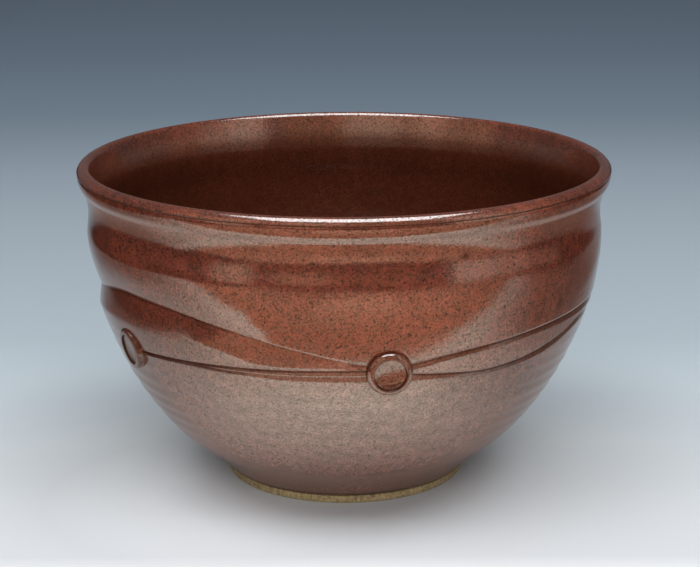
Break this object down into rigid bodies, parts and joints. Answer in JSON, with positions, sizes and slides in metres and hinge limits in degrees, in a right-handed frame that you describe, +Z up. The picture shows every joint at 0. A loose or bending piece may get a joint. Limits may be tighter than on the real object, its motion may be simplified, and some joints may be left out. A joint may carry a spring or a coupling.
{
  "type": "stoneware bowl",
  "caption": "Deep round serving bowl in iron-glazed stoneware, with a rolled rim, a bare foot ring, and clay buttons joined by fold ridges round the belly.",
  "frame": {"origin": "middle of the foot ring's underside, on the surface that the bowl stands on", "axes": "+Z up out of the mouth, -Y to the front button's side, +X to the right of it"},
  "size_m": [0.24, 0.24, 0.145],
  "materials": {
    "iron_glaze": "glossy",
    "button_glaze": "glossy",
    "bare_clay": "matte"
  },
  "bodies": {
    "root": {"bowl_body": "iron_glaze", "rolled_rim": "iron_glaze", "foot_ring": "bare_clay", "clay_button_left": "button_glaze", "clay_button_front": "button_glaze", "clay_button_right": "button_glaze", "clay_button_back": "button_glaze", "fold_left_lower": "iron_glaze", "fold_left_upper": "iron_glaze", "fold_right_upper": "iron_glaze", "fold_right_lower": "iron_glaze", "fold_back_upper": "iron_glaze", "fold_back_lower": "iron_glaze"}
  },
  "joints": []
}
